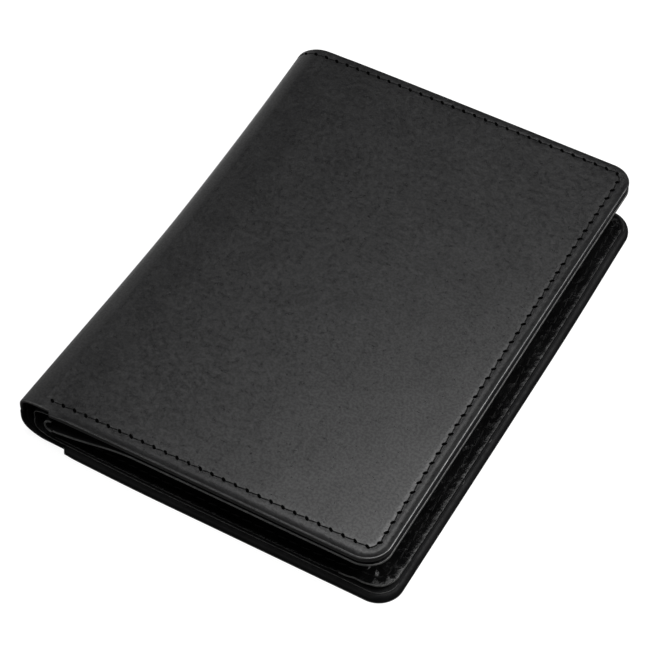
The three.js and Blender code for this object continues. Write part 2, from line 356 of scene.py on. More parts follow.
def pinch(along, across):
    """How far the fold is pressed in."""
    share = across / HALF_HEIGHT
    middle = (1.0 - share ** 2) * (1.0 + PINCH_LEAN * np.minimum(share, 0.0))
    tuck = NEAR_TUCK * near_end(across) * (1.0 - smooth((along + QUARTER) / QUARTER))
    return FOLD_PINCH * middle * (1.0 - smooth((along + QUARTER) / (QUARTER + PINCH_REACH))) + tuck


def near_lift(along, across, length):
    """How far the near end of the fold stands off the table."""
    return NEAR_LIFT * near_end(across) * (1.0 - smooth((along + QUARTER) / (QUARTER + length)))


def front_rise(along, across):
    """How far the open front half stands above a closed one."""
    opened = np.maximum(along, 0.0)
    hinge = smooth(opened / EASE_LENGTH)
    tilt = math.sin(TILT) * (opened + RADIUS) * hinge
    bow = BOW * (1.0 - (across / HALF_HEIGHT) ** 2) * (opened / FRONT_REACH) ** 2
    shoulder = SHOULDER * np.exp(-opened / SHOULDER_LENGTH) * smooth(1.0 + along / QUARTER)
    return tilt + bow - shoulder


def place_front(along, across, level, start=0.0, radius=RADIUS):
    """Front half: along is 0 where the round part ends, negative on it, positive towards the free edge."""
    reach, height = folded(along, across, level, start, radius, FRONT_SQUARE)
    x = CENTRE_X + reach + pinch(along, across)
    z = RADIUS + height + front_rise(along + start, across) + near_lift(along, across, 0.0)
    return np.stack([x, across, z], axis=-1)


def place_back(along, across, level, start=0.0, radius=RADIUS):
    """Back half, lying on the table."""
    reach, height = folded(along, across, level, start, radius, BACK_SQUARE)
    share = np.maximum(along, 0.0) / BACK_REACH
    far = smooth(across / HALF_HEIGHT)
    x = CENTRE_X + reach + pinch(along, across) - (EDGE_PULL + FAR_EDGE_PULL * far ** 2) * share
    pull = CORNER_PULL * far * share
    slant = (NEAR_SLANT * (share - 0.5) + NEAR_PULL) * smooth(-across / HALF_HEIGHT)
    z = np.maximum(RADIUS - height, level * PRESSED_SHARE) + near_lift(along, across, LIFT_LENGTH)
    return np.stack([x, across - pull + slant, z], axis=-1)


def wrinkles(along, across):
    """Sum of small waves, each longer than the last and turned against it."""
    total = 0.0
    for k in range(WRINKLE_COUNT):
        turn = WRINKLE_TURN * k
        length = WRINKLE_LENGTH + WRINKLE_SPREAD * k
        way = along * math.cos(turn) + across * math.sin(turn)
        total = total + np.sin(way * math.tau / length + WRINKLE_PHASE * k)
    return total


def place_back_panel(along, across, level):
    """Back inner panel: gathered at its near free corner, wrinkled along its free edge."""
    to_edge = BACK_REACH - BACK_SETBACK - along
    to_near = across + HALF_HEIGHT - BACK_SETBACK
    corner = bell(to_edge - GATHER_FROM_EDGE, GATHER_WIDTH) * bell(to_near - GATHER_FROM_NEAR, GATHER_WIDTH)
    turn = np.arctan2(to_near - CORNER, to_edge - CORNER)
    clear = smooth(np.hypot(to_near, to_edge) / PLEAT_CLEAR)
    pleats = np.sin(PLEAT_COUNT * turn + PLEAT_TWIST * to_edge) * clear
    faded = smooth((to_edge - WRINKLE_FULL) / (WRINKLE_MARGIN - WRINKLE_FULL))
    margin = smooth(to_edge / WRINKLE_RISE) * (1.0 - faded)
    lift = (GATHER_HEIGHT + PLEAT_HEIGHT * pleats) * corner
    lift = lift + WRINKLE_HEIGHT * wrinkles(along, across) * margin
    return place_back(along, across, PANEL_LEVEL + level + lift)


def front_panel_level(along, across, level):
    """The front inner panel sags away from the cover towards the fold, droops along its free edge and lies
    close under the cover along its ends."""
    start = FRONT_START + PANEL_SAG / 2
    sagged = np.clip((along - start) / SAG_LENGTH, 0.0, 1.0)
    sag = PANEL_SAG * (1.0 + np.cos(math.pi * sagged)) / 2
    edge = smooth((along - FRONT_REACH + DROOP_REACH) / DROOP_REACH)
    share = across / HALF_HEIGHT
    droop = PANEL_DROOP * edge * (1.0 - share ** 2) * (1.0 - DROOP_FADE * smooth(share + 0.5))
    lift = PANEL_LIFT * smooth((np.abs(across) - HALF_HEIGHT + LIFT_REACH) / LIFT_REACH)
    return level + sag + droop - lift


def place_front_panel(along, across, level):
    """Front inner panel: along runs from its hooked spine edge, over the hook, to the free edge."""
    radius = PANEL_SAG / 2
    hook = math.pi * radius
    turn = np.clip(along, 0.0, hook) / radius
    depth = level - PANEL_THICK / 2
    centre = FRONT_START + radius + PANEL_THICK / 2
    hook_along = centre - (radius - depth) * np.sin(turn)
    hook_level = PANEL_LEVEL + PANEL_THICK / 2 + radius - (radius - depth) * np.cos(turn)
    flat_along = centre + np.maximum(along - hook, 0.0)
    flat_level = front_panel_level(flat_along, across, PANEL_LEVEL + level)
    flat = along >= hook
    return place_front(
        np.where(flat, flat_along, hook_along), across, np.where(flat, flat_level, hook_level)
    )


def place_pouch(along, across, height):
    """Coin pouch: along runs from its mouth towards the fold, height is above the table."""
    return np.stack([pouch_high[0] - along, across, height], axis=-1)


def place_flap(along, across, level):
    """Flap of the pouch: along runs up its riser, round the bend and out to its tip."""
    turn = np.clip((along - FLAP_RISER) / FLAP_BEND, 0.0, math.pi / 2)
    leaf = np.maximum(along - FLAP_LEAF, 0.0)
    reach = FLAP_BEND - level
    x = flap_high[0] - FLAP_BEND + reach * np.cos(turn) - leaf
    z = flap_low[2] + np.minimum(along, FLAP_RISER) + reach * np.sin(turn)
    from_stud = np.hypot(x - STUD_X, across)
    droop = FLAP_DROOP * smooth((from_stud - FLAP_FLAT) / FLAP_SPREAD) * smooth(leaf / FLAP_EASE)
    return np.stack([x, across, z - droop], axis=-1)


# Meshes

class Rim:
    """The free edges of a sheet, walked in one direction. Without a start radius the start side is open."""

    def __init__(self, start, end, half, end_radius, step, start_radius=None):
        self.start = start
        self.end = end
        self.half = half
        self.closed = start_radius is not None
        first = start + (start_radius or 0.0)
        last = end - end_radius
        edge = half - end_radius
        sides = [
            self.side((first, -half), (last, -half), (0, 1), step),
            self.corner((last, -edge), end_radius, -90, step),
            self.side((end, -edge), (end, edge), (-1, 0), step),
            self.corner((last, edge), end_radius, 0, step),
            self.side((last, half), (first, half), (0, -1), step),
        ]
        if self.closed:
            edge = half - start_radius
            sides += [
                self.corner((first, edge), start_radius, 90, step),
                self.side((start, edge), (start, -edge), (1, 0), step),
                self.corner((first, -edge), start_radius, 180, step),
            ]
        else:
            sides.append((np.array([(first, half)]), np.array([(0.0, -1.0)])))
        self.base = np.concatenate([points for points, _ in sides])
        self.inwards = np.concatenate([inwards for _, inwards in sides])

    @staticmethod
    def side(first, last, inwards, step):
        share = spread(0.0, math.dist(first, last), step)[:-1] / math.dist(first, last)
        points = np.outer(1 - share, first) + np.outer(share, last)
        return points, np.tile(np.array(inwards, float), (len(points), 1))

    @staticmethod
    def corner(centre, radius, from_degrees, step):
        count = max(CORNER_STEPS, round(radius * math.pi / 2 / step))
        angles = np.radians(from_degrees + 90.0 * np.arange(count) / count)
        outwards = np.stack([np.cos(angles), np.sin(angles)], axis=-1)
        return np.array(centre) + radius * outwards, -outwards

    def inset(self, distance):
        """The rim moved inwards."""
        points = self.base + distance * self.inwards
        low = self.start + distance if self.closed else self.start
        points[:, 0] = np.clip(points[:, 0], low, self.end - distance)
        points[:, 1] = np.clip(points[:, 1], -self.half + distance, self.half - distance)
        return points

    def walk(self, distance):
        """Length of the rim at that inset, and a function from lengths along it to points."""
        points = self.inset(distance)
        steps = np.linalg.norm(np.diff(points, axis=0), axis=1)
        run = np.concatenate([[0.0], np.cumsum(steps)])

        def at(where):
            return np.stack([np.interp(where, run, points[:, k]) for k in (0, 1)], axis=-1)

        return run[-1], at


def groove_relief(inset, distance):
    """Depth of the groove that a seam pulls into the leather."""
    return GROOVE_DEPTH * bell(distance - inset, GROOVE_WIDTH)


def bead_relief(rim, distance):
    """The turned edge swells at the near rim, less at the free edge, and hardly at the far rim."""
    height = BEAD_HEIGHT + BEAD_LEAN * rim.inwards[:, 1] - BEAD_SIDE * rim.inwards[:, 0]
    start = BEAD_INSET + BEAD_SHIFT * rim.inwards[:, 0]
    return -height * np.clip((start - distance) / (start - RIM_WIDTH), 0.0, 1.0) ** 2


def quads(rings, count, closed=True, first=0):
    """Faces between rings of count points. An open ring has none between its last point and its first."""
    corners = [(i, (i + 1) % count) for i in range(count if closed else count - 1)]
    return [
        (low + i, low + j, low + count + j, low + count + i)
        for low in range(first, first + (rings - 1) * count, count)
        for i, j in corners
    ]


def fill(points, ids, columns, rows, first_new):
    """Triangles inside a closed outline of points, over a grid of inner points, and those points.
    ids are the outline's point numbers in the mesh, and inner points are numbered from first_new on."""
    low = points.min(axis=0) + FILL_MARGIN
    high = points.max(axis=0) - FILL_MARGIN
    inner_rows = [v for v in rows if low[1] < v < high[1]]
    grid = np.array([(u, v) for u in columns if low[0] < u < high[0] for v in inner_rows]).reshape(-1, 2)
    apart = [np.abs(points - spot).sum(axis=1).min() > FILL_APART for spot in grid]
    grid = grid[np.array(apart, bool)]
    outline = [(i, (i + 1) % len(points)) for i in range(len(points))]
    found, _, faces, origin, _, _ = delaunay_2d_cdt(
        [Vector(p) for p in points] + [Vector(g) for g in grid], outline, [], 1, SAME_SPOT,
    )
    numbers, added = [], []
    for spot, sources in zip(found, origin):
        kept = [s for s in sources if s < len(points)]
        numbers.append(ids[kept[0]] if kept else first_new + len(added))
        if not kept:
            added.append(spot)
    return [[numbers[i] for i in face] for face in faces], np.array(added).reshape(-1, 2)


def make_object(name, points, faces, flat, material, edge_material=None, edge_faces=()):
    """A smooth mesh object from millimetre points; flat keeps each point's place on the flat sheet.
    The faces numbered in edge_faces take the second material."""
    mesh = bpy.data.meshes.new(name)
    mesh.from_pydata((points * MM).tolist(), [], faces)
    for index in edge_faces:
        mesh.polygons[index].material_index = 1
    attribute = mesh.attributes.new("flat", "FLOAT_VECTOR", "POINT")
    attribute.data.foreach_set("vector", (flat * MM).astype(np.float32).ravel())
    cleaner = bmesh.new()
    cleaner.from_mesh(mesh)
    bmesh.ops.remove_doubles(cleaner, verts=cleaner.verts, dist=SAME_POINT_METRES)
    bmesh.ops.dissolve_degenerate(cleaner, edges=cleaner.edges, dist=NO_EDGE_METRES)
    loose = [point for point in cleaner.verts if not point.link_faces]
    bmesh.ops.delete(cleaner, geom=loose, context="VERTS")
    bmesh.ops.recalc_face_normals(cleaner, faces=cleaner.faces)
    cleaner.to_mesh(mesh)
    cleaner.free()
    mesh.polygons.foreach_set("use_smooth", [True] * len(mesh.polygons))
    mesh.materials.append(material)
    if edge_material is not None:
        mesh.materials.append(edge_material)
    piece = bpy.data.objects.new(name, mesh)
    bpy.context.scene.collection.objects.link(piece)
    return piece


def sheet_piece(
    name, rim, profile, place, material, columns, rows, relief=None, shift=None, capped=True, edge=None,
):
    """A sheet with two faces and a rim. profile lists (inset, level, side) from its outer face over the
    rim to its inner face, with side 1 on the outer face, -1 on the inner face and 0 on the rim.
    relief(inset) sinks the faces, shift(points, levels, inset) moves points of the flat sheet, and capped
    closes an open start. edge is a second material, the points of the rim that have it, the inset that it
    reaches to, and the levels it lies between."""
    flat, levels = [], []
    for distance, level, side in profile:
        points = rim.inset(distance)
        depth = np.full(len(points), float(level))
        if relief is not None and side:
            depth = depth + side * relief(distance)
        if shift is not None:
            points, depth = shift(points, depth, distance)
        flat.append(points)
        levels.append(depth)
    count = len(rim.base)
    rings = len(profile)
    total = rings * count
    faces = quads(rings, count, rim.closed)
    edge_material, edge_faces = None, []
    if edge is not None:
        edge_material, marked, reach, low, high = edge
        in_edge = [distance <= reach and low <= level <= high for distance, level, _ in profile]
        edge_faces = [
            number for number, (point, _, _, next_ring) in enumerate(faces)
            if marked[point % count] and in_edge[point // count] and in_edge[next_ring // count]
        ]
    start_lines = []
    for ring in (0, rings - 1):
        outline = flat[ring]
        ids = np.arange(count) + ring * count
        if not rim.closed:
            steps = max(2, round(2 * rim.half / (rows[1] - rows[0])))
            line = np.linspace(outline[-1], outline[0], steps + 1)[1:-1]
            line_ids = total + np.arange(len(line))
            start_lines.append(list(line_ids))
            outline = np.concatenate([outline, line])
            ids = np.concatenate([ids, line_ids])
            flat.append(line)
            levels.append(np.full(len(line), float(profile[ring][1])))
            total += len(line)
        triangles, added = fill(outline, ids, columns, rows, total)
        faces += triangles
        flat.append(added)
        levels.append(np.full(len(added), float(profile[ring][1])))
        total += len(added)
    if capped and not rim.closed:
        near = [k * count for k in range(rings)]
        far = [k * count + count - 1 for k in reversed(range(rings))]
        faces.append(near + start_lines[1][::-1] + far + start_lines[0])
    flat = np.concatenate(flat)
    levels = np.concatenate(levels)
    points = place(flat[:, 0], flat[:, 1], levels)
    return make_object(
        name, points, faces, np.column_stack([flat, levels]), material, edge_material, edge_faces,
    )


def plain_profile(thick, level, rounding, inner):
    """Rim of a thin sheet with rounded edges, filled from the inset inner on."""
    half = thick / 2
    bend = [
        (rounding * (1 - math.cos(a)), level + half - half * math.sin(a), 0)
        for a in np.radians(range(90, -91, -30))
    ]
    return [(inner, level, 1), *bend, (inner, level + thick, -1)]


def stitches(name, rim, inset, place, level, side=1, first=0):
    """Sewing thread along a rim: one slanted stitch between each two holes, sunk at its ends."""
    length, at = rim.walk(inset)
    angles = full_turn(THREAD_SIDES)
    share = np.linspace(STITCH_END, 1.0 - STITCH_END, THREAD_RINGS)
    slant = STITCH_SLANT * (share - 0.5)
    arch = np.sin(math.pi * (share - STITCH_END) / (1.0 - 2 * STITCH_END))
    lift = THREAD_RADIUS * (STITCH_ARCH * arch - STITCH_SINK)
    size = THREAD_RADIUS * (1.0 - STITCH_TAPER * (1.0 - arch))
    flats, levels, faces, marks = [], [], [], []
    for index in range(first, int((length - END_GAP) / PITCH)):
        where = (index + share) * PITCH
        centre = at(where)
        along = np.gradient(centre, axis=0)
        along /= np.linalg.norm(along, axis=1)[:, None]
        across = np.stack([-along[:, 1], along[:, 0]], -1)
        begin = len(flats) * THREAD_SIDES
        for k in range(THREAD_RINGS):
            offset = slant[k] + size[k] * np.cos(angles)
            flats.append(centre[k] + across[k] * offset[:, None])
            levels.append(level - side * (lift[k] + size[k] * np.sin(angles)))
            marks.append(np.column_stack([np.full(THREAD_SIDES, where[k]), angles, np.zeros(THREAD_SIDES)]))
        faces += quads(THREAD_RINGS, THREAD_SIDES, first=begin)
        end = begin + (THREAD_RINGS - 1) * THREAD_SIDES
        faces.append(tuple(range(begin, begin + THREAD_SIDES))[::-1])
        faces.append(tuple(range(end, end + THREAD_SIDES)))
    flat = np.concatenate(flats)
    points = place(flat[:, 0], flat[:, 1], np.concatenate(levels))
    return make_object(name, points, faces, np.concatenate(marks), thread)


def stitch_holes(name, rim, inset, place, first):
    """Dark slanted discs between the stitches, lying just proud of the leather: painted shade in place of
    the hollows of the stitch holes.
    """
    length, at = rim.walk(inset)
    angles = full_turn(HOLE_SIDES)
    flats, levels, faces = [], [], []
    for index in range(first, int(length / PITCH)):
        before, spot, after = at(index * PITCH + np.array([-HOLE_PROBE, 0.0, HOLE_PROBE]))
        along = (after - before) / np.linalg.norm(after - before)
        across = np.array([-along[1], along[0]])
        long_way = along * math.cos(HOLE_SLANT) + across * math.sin(HOLE_SLANT)
        short_way = across * math.cos(HOLE_SLANT) - along * math.sin(HOLE_SLANT)
        oval = np.outer(HOLE_LENGTH / 2 * np.cos(angles), long_way)
        oval += np.outer(HOLE_WIDTH / 2 * np.sin(angles), short_way)
        begin = (index - first) * (HOLE_SIDES + 1)
        flats += [spot + oval, spot[None]]
        levels += [np.full(HOLE_SIDES, -HOLE_PROUD), np.zeros(1)]
        faces += [(begin + i, begin + (i + 1) % HOLE_SIDES, begin + HOLE_SIDES) for i in range(HOLE_SIDES)]
    flat = np.concatenate(flats)
    levels = np.concatenate(levels)
    points = place(flat[:, 0], flat[:, 1], levels)
    return make_object(name, points, faces, np.column_stack([flat, levels]), hole_shade)


def turned_piece(name, profile):
    """A turned piece of the press stud; its profile starts and ends on the axis or closes on itself."""
    angles = full_turn(TURNED_SIDES)
    points = np.concatenate([
        np.stack([STUD_X + r * np.cos(angles), r * np.sin(angles), np.full(TURNED_SIDES, z)], -1)
        for r, z in profile
    ])
    return make_object(name, points, quads(len(profile), TURNED_SIDES), points, brass)


# Materials

def add_node(tree, kind, values, **settings):
    """A shader node. values maps its inputs to plain values or to the outputs that feed them."""
    node = tree.nodes.new(f"ShaderNode{kind}")
    for name, setting in settings.items():
        setattr(node, name, setting)
    for name, value in values.items():
        if isinstance(value, bpy.types.NodeSocket):
            tree.links.new(value, node.inputs[name])
        else:
            node.inputs[name].default_value = value
    return node


def grey(value, tint=0.0):
    """A neutral colour, or one with a trace of blue."""
    return (value, value, value + tint)


class Shader:
    """A Principled material with a few helpers for its procedural nodes."""

    def __init__(self, name, colour, roughness, metallic=0.0, gloss=0.5):
        self.material = bpy.data.materials.new(name)
        self.material.use_nodes = True
        self.tree = self.material.node_tree
        self.inputs = self.tree.nodes["Principled BSDF"].inputs
        self.inputs["Base Color"].default_value = (*colour, 1.0)
        self.inputs["Roughness"].default_value = roughness
        self.inputs["Metallic"].default_value = metallic
        self.inputs["Specular IOR Level"].default_value = gloss
        self.flat = add_node(self.tree, "Attribute", {}, attribute_name="flat").outputs["Vector"]
        self.bump_end = None

    def noise(self, size, detail):
        """Noise whose features are about size millimetres."""
        values = {"Vector": self.flat, "Scale": 1.0 / (size * MM), "Detail": detail}
        return add_node(self.tree, "TexNoise", {**values, "Roughness": NOISE_ROUGHNESS}).outputs["Fac"]

    def bands(self, size, direction, distortion=0.0):
        """Bands about size millimetres apart."""
        values = {"Vector": self.flat, "Scale": WAVE_SCALE / (size * MM), "Distortion": distortion}
        return add_node(self.tree, "TexWave", values, bands_direction=direction).outputs["Fac"]

    def mottle(self, size, detail, low, high, start=0.3, end=0.7):
        """Noise brought to the range from low to high."""
        values = {"Value": self.noise(size, detail), "From Min": start, "From Max": end}
        values.update({"To Min": low, "To Max": high})
        return add_node(self.tree, "MapRange", values, interpolation_type="SMOOTHSTEP").outputs["Result"]

    def tones(self, size, detail, dark, light):
        """Mottles the colour between two tones."""
        values = {"Factor": self.mottle(size, detail, 0.0, 1.0), "A": (*dark, 1.0), "B": (*light, 1.0)}
        node = add_node(self.tree, "Mix", values, data_type="RGBA")
        self.tree.links.new(node.outputs["Result"], self.inputs["Base Color"])

    def vary(self, name, size, detail, low, high, start=0.3, end=0.7):
        """Mottles another input of the shader between two values."""
        self.tree.links.new(self.mottle(size, detail, low, high, start, end), self.inputs[name])

    def bump(self, height, depth, strength):
        """Adds relief of that depth in millimetres."""
        values = {"Height": height, "Distance": depth * MM, "Strength": strength}
        if self.bump_end is not None:
            values["Normal"] = self.bump_end
        self.bump_end = add_node(self.tree, "Bump", values).outputs["Normal"]
        self.tree.links.new(self.bump_end, self.inputs["Normal"])


def nappa(name, dark, light, roughness, gloss, grain, crease):
    """Soft drum-dyed leather: fine closed grain, creases, and slow changes of tone and gloss."""
    shader = Shader(name, light, roughness)
    shader.tones(size=9.0, detail=6.0, dark=dark, light=light)
    shader.vary("Roughness", size=1.3, detail=5.0, low=roughness - 0.04, high=roughness + 0.06)
    low, high = gloss * 0.82, gloss * 1.18
    shader.vary("Specular IOR Level", size=grain, detail=3.0, low=low, high=high, start=0.4, end=0.6)
    shader.bump(shader.noise(size=14.0, detail=3.0), depth=0.2, strength=0.35)
    shader.bump(shader.noise(size=1.8, detail=5.0), depth=crease, strength=0.6)
    shader.bump(shader.noise(size=grain, detail=2.0), depth=0.012, strength=0.4)
    return shader.material


def twill(name, dark, light):
    """Woven lining cloth."""
    shader = Shader(name, light, roughness=0.8, gloss=0.08)
    shader.tones(size=2.5, detail=5.0, dark=dark, light=light)
    shader.bump(shader.bands(size=0.5, direction="DIAGONAL", distortion=0.4), depth=0.05, strength=0.6)
    shader.bump(shader.bands(size=0.32, direction="X", distortion=0.6), depth=0.03, strength=0.5)
    return shader.material


def thread_material():
    shader = Shader("sewing_thread", grey(0.003), roughness=0.75, gloss=0.12)
    shader.tones(size=0.7, detail=3.0, dark=grey(0.002), light=grey(0.005))
    shader.bump(shader.bands(size=0.45, direction="DIAGONAL"), depth=0.06, strength=0.7)
    return shader.material


def fibre_board():
    shader = Shader("fibre_board", (0.16, 0.14, 0.115), roughness=0.92)
    shader.tones(size=1.1, detail=6.0, dark=(0.12, 0.105, 0.085), light=(0.19, 0.165, 0.135))
    shader.bump(shader.noise(size=0.6, detail=4.0), depth=0.05, strength=0.5)
    return shader.material


# Near black: painted shade of the hollow inside a stitch hole.
def hole_shade_material():
    shader = Shader("stitch_hole", grey(0.001), roughness=0.95, gloss=0.0)
    shader.tones(size=0.4, detail=3.0, dark=grey(0.0004), light=grey(0.001))
    return shader.material


def burnished_edge_and_highlight():
    """Cut leather edge, finished with edge dressing and rubbed. Its grey is well above the leather's:
    partly the edge's own colour, partly painted highlight for the thin light lines along the edges.
    """
    shader = Shader("burnished_edge_and_highlight", grey(0.03), roughness=0.35)
    shader.tones(size=1.2, detail=5.0, dark=grey(0.022), light=grey(0.048, -0.001))
    shader.vary("Roughness", size=0.6, detail=4.0, low=0.28, high=0.45)
    shader.vary("Specular IOR Level", size=0.9, detail=3.0, low=0.2, high=0.3)
    shader.bump(shader.noise(size=0.3, detail=4.0), depth=0.03, strength=0.5)
    return shader.material


def blackened_brass():
    shader = Shader("blackened_brass", (0.05, 0.048, 0.046), roughness=0.34, metallic=1.0)
    shader.tones(size=3.0, detail=4.0, dark=(0.04, 0.039, 0.038), light=(0.075, 0.071, 0.066))
    shader.vary("Roughness", size=0.8, detail=5.0, low=0.27, high=0.42)
    shader.bump(shader.noise(size=0.35, detail=3.0), depth=0.01, strength=0.4)
    return shader.material


cover_nappa = nappa(
    "cover_nappa", dark=grey(0.0050, 0.0002), light=grey(0.0080, 0.0002),
    roughness=0.31, gloss=0.5, grain=0.6, crease=0.01,
)
inner_nappa = nappa(
    "inner_nappa", dark=grey(0.0035, 0.0002), light=grey(0.0060, 0.0002),
    roughness=0.46, gloss=0.05, grain=0.7, crease=0.12,
)
pocket_nappa = nappa(
    "pocket_nappa", dark=grey(0.0060, 0.0002), light=grey(0.0095, 0.0003),
    roughness=0.36, gloss=0.42, grain=0.7, crease=0.05,
)
# Crinkled leather of the back inner panel. Its colour is darker than the front panel's inner leather:
# painted shade, where the front half lies over it.
crinkled_shaded_nappa = nappa(
    "crinkled_shaded_nappa", dark=grey(0.0015, 0.0001), light=grey(0.0030, 0.0001),
    roughness=0.16, gloss=0.11, grain=0.7, crease=0.6,
)
lining_twill = twill("lining_twill", dark=grey(0.0030, 0.0002), light=grey(0.0055, 0.0003))
thread = thread_material()
board = fibre_board()
brass = blackened_brass()
hole_shade = hole_shade_material()
edge_dressing_and_highlight = burnished_edge_and_highlight()


# Riding on the frame

HALVES = {
    "front": (place_front, FRONT_REACH, FRONT_NOTCH, FRONT_SETBACK),
    "back": (place_back, BACK_REACH, BACK_NOTCH, BACK_SETBACK),
}


def bend(piece, side, level, shift=0.0):
    """Bakes the piece's placement into its mesh."""
    if side == "front":
        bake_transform(piece)
    else:
        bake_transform(piece)


def stands_for(side, name, round_fold=True):
    """On the front half, a piece that runs round the fold stands for the node of the spine too."""
    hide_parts(f"{side}_{name}")
    if side == "front" and round_fold:
        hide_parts(f"spine_{name}")


def dress(piece, node, body):
    """A piece that stands for one node and moves with one body."""
    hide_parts(node)
    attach(piece, body)


# Covers

def half_columns(reach):
    return [*spread(-QUARTER, 0.0, FOLD_STEP), *spread(0.0, reach, FACE_STEP)[1:]]


def cover_profile():
    """From the outer face over the turned edge to the inner end of the hem, then the flesh side."""
    under = EDGE - RIM_DROP
    turns = np.radians(range(85, 4, -10))
    return [
        *[(d, 0.0, 1) for d in COVER_RINGS],
        *[(RIM_WIDTH * (1 - math.cos(a)), RIM_DROP * (1 - math.sin(a)), 1) for a in turns],
        *[(RIM_UNDERCUT * (1 - math.cos(a)), EDGE - under * (1 - math.sin(a)), 0) for a in turns[::-1]],
        (HEM - HEM_ROUND, EDGE, 0),
        (HEM, EDGE - HEM_ROUND, 0),
        (HEM, LEATHER + HEM_GAP, 0),
        (HEM + HEM_RING, LEATHER, 0),
    ]


def in_far_fold(along):
    """Grows from 0 to 1 towards the middle of the fold."""
    return smooth((FAR_START - along) / FAR_LENGTH)


def far_set_back(rim):
    """How far the far edge of a sheet stands back round the fold."""
    return np.where(rim.base[:, 1] > 0.0, FAR_NOTCH * in_far_fold(rim.base[:, 0]), 0.0)


def set_back_by(rim, amount):
    """A shift that moves the edge of a sheet inwards, and its inner rings less and less."""
    def shift(points, depth, distance):
        return points + (amount * max(0.0, 1 - distance / HEM))[:, None] * rim.inwards, depth

    return shift


def cover_half(side):
    place, reach, notch, _ = HALVES[side]
    rim = Rim(-QUARTER, reach, HALF_HEIGHT, CORNER, FINE)
    along = rim.base[:, 0]
    near = rim.base[:, 1] < 0.0
    seam_inset = SEAM_INSET + SEAM_SHIFT * rim.inwards[:, 0]
    seam_inset = seam_inset + FAR_SEAM_SHIFT * np.minimum(rim.inwards[:, 1], 0.0)
    sewn = smooth(1.0 + along / PITCH)
    beaded = smooth((along - notch) / BEAD_START)
    single = smooth((notch - along) / np.where(near, NEAR_STEP, FAR_STEP) + 0.5)
    set_back = set_back_by(rim, np.where(near, NEAR_NOTCH * single, far_set_back(rim)))

    def relief(distance):
        return groove_relief(seam_inset, distance) * sewn + bead_relief(rim, distance) * beaded

    def cut_edge(points, depth, distance):
        """Beside the fold the leather is a single cut layer, set back from the turned edges."""
        points, depth = set_back(points, depth, distance)
        return points, np.minimum(depth, EDGE + (LEATHER - EDGE) * single)

    if side == "front":
        # The outer border of the single cut layer beside the fold takes the light grey edge material:
        # partly its own colour, partly a painted highlight line.
        edge = (edge_dressing_and_highlight, single > 0.5, RIM_WIDTH, 0.0, RIM_DROP)
    else:
        # The back cover's turned-in hem takes the darker, duller inner leather: painted shade, where it
        # lies under the front half.
        edge = (inner_nappa, np.ones(len(single), bool), HEM, RIM_DROP, EDGE)
    cover = sheet_piece(
        f"cover_{side}", rim, cover_profile(), place, cover_nappa, half_columns(reach),
        spread(-HALF_HEIGHT, HALF_HEIGHT, FACE_STEP), relief, cut_edge, capped=False, edge=edge,
    )
    stands_for(side, "cover")
    bend(cover, side, 0.0)

    def sewn_place(along, across, level):
        """The seam lies nearer to the far edge and follows it round the fold."""
        follow = SEAM_FOLLOW * in_far_fold(along) * (across > 0.0)
        return place(along, across + FAR_SEAM_SHIFT / 2 - follow, level)

    sewn_rim = Rim(-QUARTER, reach + SEAM_SHIFT, HALF_HEIGHT + FAR_SEAM_SHIFT / 2, CORNER, FINE)
    unsewn = round(QUARTER / PITCH)
    seam = stitches(f"cover_{side}_thread", sewn_rim, SEAM_INSET, sewn_place, GROOVE_DEPTH, first=unsewn)
    bend(seam, side, 0.0)
    # Dark discs at the stitch holes: painted shade of their hollows.
    holes = stitch_holes(f"cover_{side}_holes", sewn_rim, SEAM_INSET, sewn_place, unsewn)
    bend(holes, side, 0.0)


for side in HALVES:
    cover_half(side)


# Stiffeners, linings and note divider

def layer(side, name, level, thick, rim, place, material, shift=None, edge=None):
    columns = [c for c in half_columns(rim.end) if c > rim.start]
    piece = sheet_piece(
        f"{name}_{side}", rim, plain_profile(thick, level, LAYER_ROUND, LAYER_RING), place, material,
        columns, spread(-HALF_HEIGHT, HALF_HEIGHT, LAYER_STEP), shift=shift, edge=edge,
    )
    stands_for(side, name, rim.start < 0.0)
    return piece


def stiffener(side):
    """Board held in the turned edges."""
    place, reach, notch, _ = HALVES[side]
    half = HALF_HEIGHT - LAYER_INSET
    rim = Rim(notch + JOIN_GAP, reach - LAYER_INSET, half, CORNER - LAYER_INSET, RIM_STEP)
    piece = layer(side, "board", BOARD_LEVEL, BOARD_THICK, rim, place, board)
    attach(piece, f"{side}_half")


def lining(side):
    """Cloth held in the turned edges. Beside the fold it stays behind the cut edge of the cover."""
    place, reach, notch, _ = HALVES[side]
    half = HALF_HEIGHT - LAYER_INSET
    rim = Rim(-QUARTER, reach - LAYER_INSET, half, CORNER - LAYER_INSET, RIM_STEP)
    behind = set_back_by(rim, smooth(notch - rim.base[:, 0] + 0.5) * NEAR_NOTCH)
    piece = layer(side, "lining", LINING_LEVEL, CLOTH_THICK, rim, place, lining_twill, behind)
    bend(piece, side, LINING_LEVEL)


def divider(side):
    """Loose sheet of the note compartment, inside the edges of the cover."""
    place, reach, _, _ = HALVES[side]

    def loose(along, across, level):
        return place(along, across, level, DIVIDER_SHIFT, DIVIDER_RADIUS)

    quarter = math.pi / 2 * DIVIDER_RADIUS
    length = reach - DIVIDER_SHIFT - DIVIDER_SETBACK
    half = HALF_HEIGHT - DIVIDER_SETBACK
    rim = Rim(-quarter, length, half, CORNER - DIVIDER_SETBACK, RIM_STEP)
    behind = set_back_by(rim, far_set_back(rim))
    # The divider's cut edge takes the light grey edge material: a painted highlight line along it.
    edge = (edge_dressing_and_highlight, rim.base[:, 0] < length, RIM_WIDTH, 0.0, math.inf)
    piece = layer(
        side, "divider", DIVIDER_LEVEL, CLOTH_THICK, rim, loose, lining_twill, behind, edge,
    )
    bend(piece, side, DIVIDER_LEVEL, DIVIDER_SHIFT)


for side in HALVES:
    stiffener(side)
    lining(side)
    divider(side)


# Inner panels

